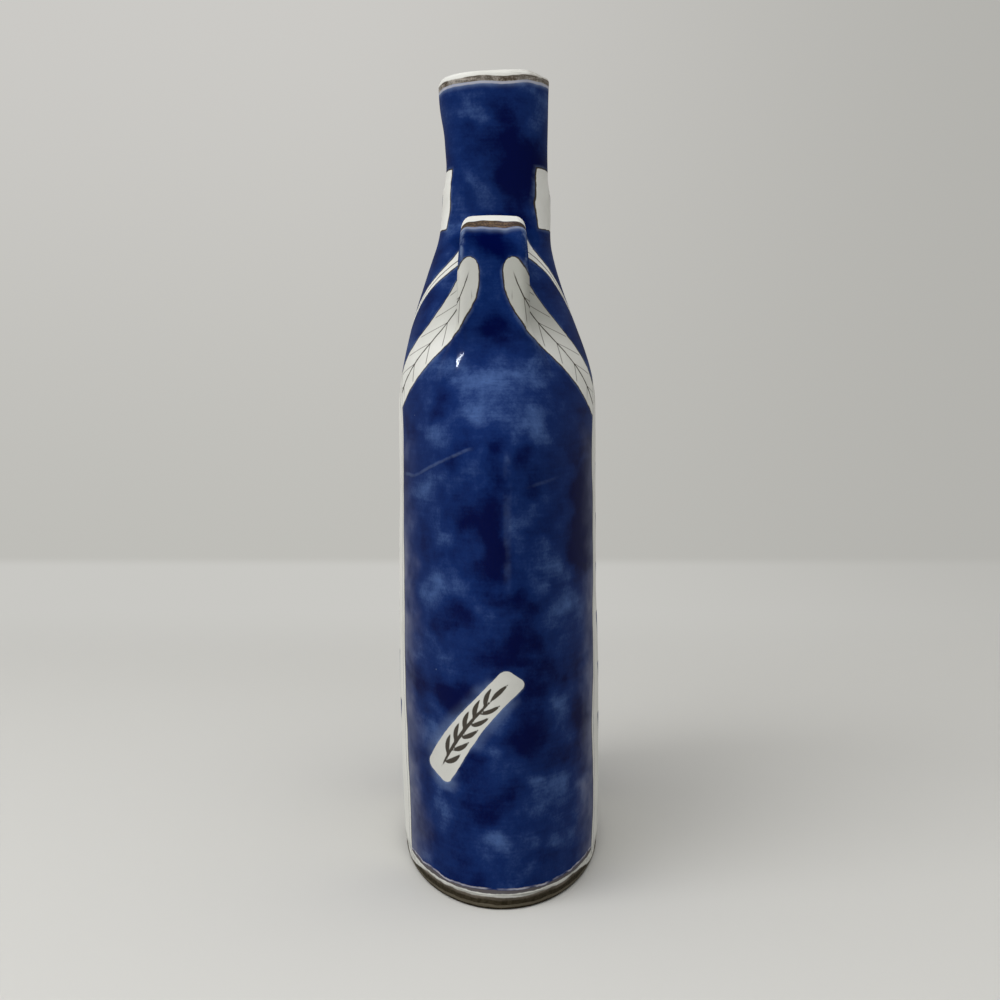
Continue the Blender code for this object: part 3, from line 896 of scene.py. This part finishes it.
def beddedRow(surface, ring, outward, axis, fillet, share):
    # one row of a quarter-round fillet between the strap and the clay
    row = []
    for place, side in zip(ring, outward):
        lower = fillet[1] if side.dot(Vector((0, -1, -1)) - axis * 0.5) > 0 else fillet[2]
        size = fillet[0] * side.x ** 2 + lower * (1 - side.x ** 2)
        away = size * (1 - math.cos(share * math.pi / 2))
        target = size * (1 - math.sin(share * math.pi / 2))
        start = Vector(place) + side * away
        step = 0.0
        while step < 0.08 and gapTo(surface, start + axis * step) > target:
            step += 0.001
        near, far = max(0.0, step - 0.001), step
        for attempt in range(14):
            half = (near + far) / 2
            if gapTo(surface, start + axis * half) > target:
                near = half
            else:
                far = half
        row.append(start + axis * far)
    return row


def sunkRow(surface, rows):
    # a last row, just under the clay past the fillet
    row = []
    for place, before in zip(rows[-1], rows[-2]):
        onward = place + (place - before).normalized() * 0.0008
        spot, normal, index, distance = surface.find_nearest(onward)
        row.append(spot - normal * 0.0002)
    return row


def smoothRows(rows):
    # evens out a fillet, apart from its first row and its last two
    grid = np.array(rows)
    for attempt in range(strap["smoothing"]):
        beside = np.roll(grid, 1, 1) + np.roll(grid, -1, 1)
        grid[1:-2] = grid[1:-2] / 2 + (beside[1:-2] + grid[:-3] + grid[2:-1]) / 8
    return list(grid)


def sectionSides(ring, axis):
    # outward direction of each point of a section
    count = len(ring)
    centre = ring.mean(0)
    sides = []
    for index in range(count):
        run = Vector(ring[(index + 1) % count] - ring[index - 1])
        side = run.cross(axis).normalized()
        sides.append(side if side.dot(Vector(ring[index] - centre)) > 0 else -side)
    return sides


def strapShare(z):
    down = np.clip((strap["flareTop"] - z) / strap["flareRun"], 0, 1)
    return strap["topShare"] + strap["flare"] * down * (2 - down)


def strapEnd(surface, ring, side, level, axis, fillet):
    # fillet rows from a section at the bend on to the clay
    top = ring.copy()
    top[:, side] = level
    sides = sectionSides(ring, axis)
    shares = np.linspace(0, 1, strap["filletRows"])
    rows = [beddedRow(surface, top, sides, axis, fillet, share) for share in shares]
    return rows + [sunkRow(surface, rows)]


def makeStrap(material):
    swept = bakeTree("strapBlank", makeStrapTree(), {**strap, "Finish": material}, strapPath())
    rings = points(swept).T.reshape(-1, strap["Around"], 3) * mm
    bpy.data.meshes.remove(swept)
    rings[:, :, 0] *= strapShare(rings[:, :, 2])
    raised = softStep(rings[:, :, 2], strap["crownStart"], strap["path"][1][2])
    rings[:, :, 2] += strap["crown"] * (1 - (rings[:, :, 0] / strap["Width"] * 2) ** 2) * raised
    rings[:, :, 0] -= strap["lean"]
    surface = bodySurface(pieces["shoulder"], pieces["neck"], pieces["leftWall"], pieces["rightWall"])
    middles = rings.mean(1)
    rootRing = rings[np.argmin(np.abs(middles[:, 2] - strap["rootCut"]))]
    neckRing = rings[np.argmin(np.abs(middles[:, 1] - strap["neckCut"]))]
    rootRows = strapEnd(surface, rootRing, 2, strapBend[1], Vector((0, 0, -1)), strap["rootFillet"])
    neckRows = strapEnd(surface, neckRing, 1, strapBend[0], Vector((0, 1, 0)), strap["neckFillet"])
    rootEdge = max(place.z for place in rootRows[0]) + 0.001
    neckEdge = min(place.y for place in neckRows[0]) - 0.001
    plain = [ring for ring in rings if ring[:, 2].min() > rootEdge and ring[:, 1].max() < neckEdge]
    rows = smoothRows(rootRows)[::-1] + plain + smoothRows(neckRows)
    mesh = loftRows("strap", rows, material)
    paintStrap(mesh)
    return addPiece("strapHandle", mesh, "handle_glaze", "handle_strap")


def paintStrap(mesh):
    x, y, z = points(mesh)
    fields = vesselFields(x, y, z)
    bendY, bendZ = [place / mm for place in strapBend]
    half, outer = strap["Width"] / mm / 2, (strap["Bend"] + strap["Thickness"] / 2) / mm
    lipRun = strap["lipRun"]

    # mm along the outside of the strap from the lower edge of the white
    lean = np.arctan2(np.maximum(z - bendZ, 0), np.maximum(bendY - y, 1e-6))
    run = np.where(z < bendZ, z - bendZ, lean * outer)
    run = np.where((y > bendY) & (z > strap["bridgeBottom"]), outer * math.pi / 2 + y - bendY, run)
    run = run - outer * math.radians(strap["lipTurn"]) + 0.3 * np.sin(x / 2.3 + 1) + 0.15 * np.sin(x / 0.9)
    lip = lipRun / 2 - np.abs(run - lipRun / 2)
    fromMiddle = np.abs(x + strap["lean"] / mm)
    lineRun = strap["lineRun"] * (1 - 0.4 * (fromMiddle / half) ** 2)  # the line thins out at the corners
    line = lineRun / 2 - np.abs(run + lineRun / 2)
    farLine = strap["farLine"] - np.abs(run - lipRun - strap["farLine"])
    whiteLeaf = nearestLeaf(x, z, layout["shoulderLeaves"], layout["leafRound"])

    # wear on the front corners
    edge = half * strapShare(z * mm) - 0.3
    fromFront = outer - np.where(z < bendZ, bendY - y, np.hypot(bendY - y, z - bendZ))
    wearReach, wearLow, wearRun = strap["wear"]
    corner = np.clip(1 - np.hypot(fromMiddle - edge + 0.5, fromFront - 0.8) / wearReach, 0, 1)
    corner = corner * np.clip((z - wearLow) / wearRun, 0, 1)
    fillet = fromMiddle - edge - 0.35  # beyond the strap's own sides
    blank = np.full_like(x, off)
    store(mesh, {
        **fields,
        **dict.fromkeys(("leaf", "border", "edge", "berry", "tag", "sprig"), blank),
        **dict.fromkeys(("stem", "crease"), -blank),
        "ground": np.maximum.reduce([lip, whiteLeaf[0], np.minimum(fillet * 1.5, fields["band"])]),
        "collar": np.where(fillet > 0.7, fields["collar"], -blank),
        "anyLeaf": whiteLeaf[0], "rib": whiteLeaf[1], "along": whiteLeaf[2],
        "oxide": np.maximum(line, farLine),
        "lip": run + lineRun,
        "wear": corner * (run < 2),
        "gloss": 1 - softStep(z, *strap["glossEnd"]),
        "inside": np.zeros_like(x),
    })


strapHandle = makeStrap(cobaltGlaze)


# camera at the narrow end, a little above the middle
view = {"place": (-0.0006, -0.593, 0.182), "tip": 4.27, "lens": 52.0}
camera = bpy.data.objects.new("camera", bpy.data.cameras.new("camera"))
camera.data.lens = view["lens"]
camera.data.sensor_width = 36.0
camera.data.clip_start = 0.01
camera.location = view["place"]
camera.rotation_euler = (math.radians(90 - view["tip"]), 0, 0)
scene.collection.objects.link(camera)
scene.camera = camera


# pale floor and backdrop, soft light
studio = {
    "floorColour": (0.62, 0.615, 0.59, 1),
    "floorCloud": (0.57, 0.565, 0.545, 1),
    "farFloorPaintedFalloff": ((0.582, 0.577, 0.550, 1), (0.480, 0.475, 0.450, 1)),  # left and right: painted light falloff, paler on the key's side
    "floorHalf": 4.0,
    "wallColour": (0.545, 0.535, 0.510, 1),
    "wallTones": ((0.515, 0.510, 0.480, 1), (0.600, 0.590, 0.565, 1), (0.450, 0.445, 0.420, 1)),
    "wallPlace": 1.007,
    "wallHalf": 0.62,
    "wallTop": 1.4,
    "sweep": (0.26, 0.60),
    "roomLight": (1.0, 0.995, 0.98, 1),
    "roomTone": (0.50, 0.495, 0.47, 1),
    "horizon": 0.24,
    "zenith": 0.75,
    # power, size, place and target
    "lamps": [
        ("overheadLamp", 6.0, (1.6, 1.6), (-0.1, -0.65, 1.65), (0, 0, 0.1)),
        ("frontLamp", 1.2, (1.2, 1.2), (0.25, -1.6, 0.9), (0, 0, 0.15)),
        ("keyLamp", 9.5, (1.2, 1.2), (-0.82, -0.72, 0.95), (0, 0, 0.12)),
    ],
}
# narrow lamps that show only as a bright crescent in the gloss at the strap's foot
sparks = {
    "spot": (-0.016, -0.072, 0.193),
    "distance": 0.9,
    "colour": (0.84, 0.91, 1.0),
    # power, size, and the turn and rise in degrees as seen from the spot
    "lamps": [
        ("sparkLamp", 14.0, (0.43, 0.042), 45, 32.8),
        ("sparkEndLamp", 7.0, (0.13, 0.075), 56.5, 33.8),
    ],
}


def stagePlane(name, corners, material):
    mesh = bpy.data.meshes.new(name)
    mesh.from_pydata(corners, [], [tuple(range(len(corners)))])
    mesh.materials.append(material)
    plane = bpy.data.objects.new(name, mesh)
    scene.collection.objects.link(plane)


def seenDirectly(board):
    # 1 for what the camera sees straight, in gloss or through something
    path = board.add("ShaderNodeLightPath").socket.node
    rays = ("Is Camera Ray", "Is Glossy Ray", "Is Transmission Ray")
    return sum(Wire(board, path.outputs[ray]) for ray in rays).clamp()


def backdropTone(board, x, z):
    # paler towards the top, falling off away from the key
    low, high, right = studio["wallTones"]
    return board.blend(x.ease(-0.25, 0.62), board.blend(z.ease(-0.05, 0.65), low, high), right)


def endStage(board, share, colour, tone):
    # lit paper that shows as a plain tone by the share
    paper = board.add("ShaderNodeBsdfDiffuse", {"Color": colour})
    glow = board.add("ShaderNodeEmission", {"Color": tone, "Strength": 1.0})
    mixed = board.add("ShaderNodeMixShader", [share, paper, glow])
    board.add("ShaderNodeOutputMaterial", {"Surface": mixed})


def floorFinish():
    material, board, place = newFinish("floorPaper")
    x, y, z = board.split(place)
    colour = board.blend(board.noise(place, 3.0) * 0.2, studio["floorColour"], studio["floorCloud"])
    # painted light falloff on the far floor as the camera sees it: paler on the left by the key, darker on
    # the right
    distant = board.blend(x.ease(-0.1, 0.6), *studio["farFloorPaintedFalloff"])
    distant = board.blend(y.ease(0.90, studio["wallPlace"]), distant, backdropTone(board, x, z))
    sweep = y.ease(*studio["sweep"]) * seenDirectly(board)  # the far floor runs softly into the backdrop
    endStage(board, sweep, colour, distant)
    return material


def backdropFinish():
    material, board, place = newFinish("backdropPaper")
    x, y, z = board.split(place)
    endStage(board, seenDirectly(board), studio["wallColour"], backdropTone(board, x, z))
    return material


def addLamp(name, power, size, place, target):
    lamp = bpy.data.lights.new(name, "AREA")
    lamp.energy = power
    lamp.shape = "ELLIPSE"
    lamp.size, lamp.size_y = size
    holder = bpy.data.objects.new(name, lamp)
    holder.location = place
    holder.rotation_euler = (Vector(target) - Vector(place)).to_track_quat("-Z", "Y").to_euler()
    holder.visible_glossy = False
    scene.collection.objects.link(holder)
    return holder


def addSparks():
    shown = bpy.data.collections.new("sparksShowOn")
    shown.objects.link(strapHandle)
    spot = Vector(sparks["spot"])
    for name, power, size, turn, rise in sparks["lamps"]:
        turn, rise = math.radians(turn), math.radians(rise)
        away = Vector((-math.sin(turn) * math.cos(rise), -math.cos(turn) * math.cos(rise), math.sin(rise)))
        holder = addLamp(name, power, size, spot + away * sparks["distance"], spot)
        holder.data.color = sparks["colour"]
        holder.visible_glossy = True
        holder.visible_diffuse = False
        holder.light_linking.receiver_collection = shown


def lightWorld():
    world = bpy.data.worlds.new("softRoom")
    scene.world = world
    board = emptyBoard(world)
    x, y, z = board.split(board.add("ShaderNodeTexCoord", None, "Generated"))
    level = studio["horizon"] + z.ease(0.05, 0.9) * (studio["zenith"] - studio["horizon"])
    light = board.add("ShaderNodeBackground", {"Color": studio["roomLight"], "Strength": level})
    pale = board.add("ShaderNodeBackground", {"Color": studio["roomTone"], "Strength": 1.0})
    glow = board.add("ShaderNodeMixShader", [seenDirectly(board), light, pale])
    board.add("ShaderNodeOutputWorld", {"Surface": glow})


far, half, top, wide = [studio[name] for name in ("wallPlace", "wallHalf", "wallTop", "floorHalf")]
stagePlane("floor", [(-wide, -wide, 0), (wide, -wide, 0), (wide, wide, 0), (-wide, wide, 0)], floorFinish())
stagePlane("backdrop", [(-half, far, 0), (half, far, 0), (half, far, top), (-half, far, top)],
           backdropFinish())
for lamp in studio["lamps"]:
    addLamp(*lamp)
addSparks()
lightWorld()
scene.view_settings.view_transform = "Standard"
print("camera, floor and light set")
